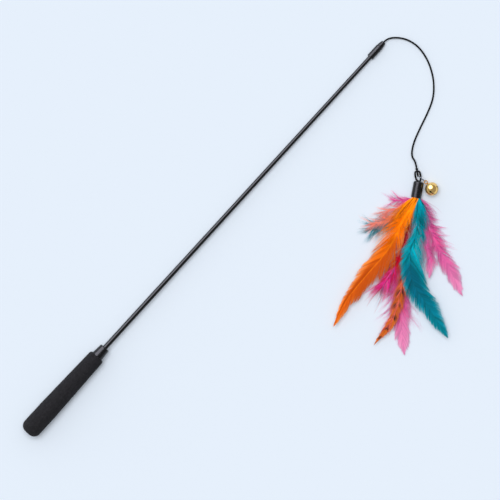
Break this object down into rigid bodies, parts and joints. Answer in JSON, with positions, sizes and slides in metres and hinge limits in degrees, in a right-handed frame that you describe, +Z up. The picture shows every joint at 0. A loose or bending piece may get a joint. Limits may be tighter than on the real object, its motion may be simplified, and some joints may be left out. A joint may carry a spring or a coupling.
{
  "type": "cat teaser wand",
  "caption": "Handheld cat teaser wand: foam grip, slim tapered rod with a turning tip, a limp cord and a linked lure of dyed feathers with a jingle bell.",
  "frame": {"origin": "middle of the grip's rest flat, on the table that the wand lies on", "axes": "+X along the wand from the grip to the tip, +Z up from the table, -Y towards the feather lure"},
  "size_m": [0.5486, 0.2572, 0.0203],
  "materials": {
    "grip_foam": "fine-pored matt foam",
    "core_plastic": "plain extruded plastic, hidden",
    "satin_plastic": "satin moulded plastic",
    "rod_gloss": "smooth glossy coated rod",
    "black_cord": "tight smooth braid",
    "clear_resin": "set glue",
    "bright_nickel": "bright plated wire",
    "bell_gold": "polished gold-coloured plating",
    "pellet_steel": "plain steel ball",
    "orange_feather": "dyed feather barbs",
    "teal_feather": "dyed feather barbs",
    "pink_feather": "dyed feather barbs",
    "barred_feather": "dyed feather barbs with dark bars",
    "crimson_feather": "dyed feather barbs",
    "coral_feather": "dyed downy barbs"
  },
  "bodies": {
    "wand": {"foam_grip": "grip_foam", "core_tube": "core_plastic", "core_plug": "core_plastic", "collar": "satin_plastic", "rod": "rod_gloss", "tip_sleeve": "satin_plastic"},
    "tip": {"tip_nose": "satin_plastic", "stopper_knot": "black_cord"},
    "cord": {"cord": "black_cord", "cord_loop": "black_cord"},
    "lure": {"lure_loop": "black_cord", "lure_cap": "satin_plastic", "glue_plug": "clear_resin", "orange_feather": "orange_feather", "teal_feather": "teal_feather", "teal_plume": "teal_feather", "teal_side_plume": "teal_feather", "pink_side_feather": "pink_feather", "pink_inner_feather": "pink_feather", "pink_tail_feather": "pink_feather", "pink_plume": "pink_feather", "barred_feather": "barred_feather", "crimson_feather": "crimson_feather", "coral_plume": "coral_feather", "coral_side_plume": "coral_feather"},
    "ring": {"jump_ring": "bright_nickel"},
    "bell": {"bell_upper_shell": "bell_gold", "bell_lower_shell": "bell_gold", "bell_eye": "bell_gold"},
    "pellet": {"bell_pellet": "pellet_steel"}
  },
  "joints": [
    {"name": "tip_turn", "type": "hinge", "parent": "wand", "child": "tip", "pos_m": [0.47711, 0, 0.00345], "axis": [-0.9999, 0, 0.0132], "continuous": true},
    {"name": "cord_swing", "type": "hinge", "parent": "tip", "child": "cord", "pos_m": [0.48351, 0, 0.00336], "axis": [0, 0, 1], "range_deg": [-10, 60], "deforming": ["cord"]},
    {"name": "lure_swing", "type": "hinge", "parent": "cord", "child": "lure", "pos_m": [0.40709, -0.11539, 0.00522], "axis": [0, 0, 1], "range_deg": [-20, 35]},
    {"name": "ring_swing", "type": "hinge", "parent": "lure", "child": "ring", "pos_m": [0.40782, -0.11854, 0.00522], "axis": [-0.6101, -0.7923, 0], "range_deg": [-35, 35]},
    {"name": "bell_swing", "type": "hinge", "parent": "ring", "child": "bell", "pos_m": [0.40808, -0.12459, 0.00522], "axis": [0, 0, 1], "range_deg": [-3, 80]},
    {"name": "pellet_roll", "type": "hinge", "parent": "bell", "child": "pellet", "pos_m": [0.40681, -0.13409, 0.0067], "axis": [-0.6101, -0.7923, 0], "continuous": true}
  ]
}
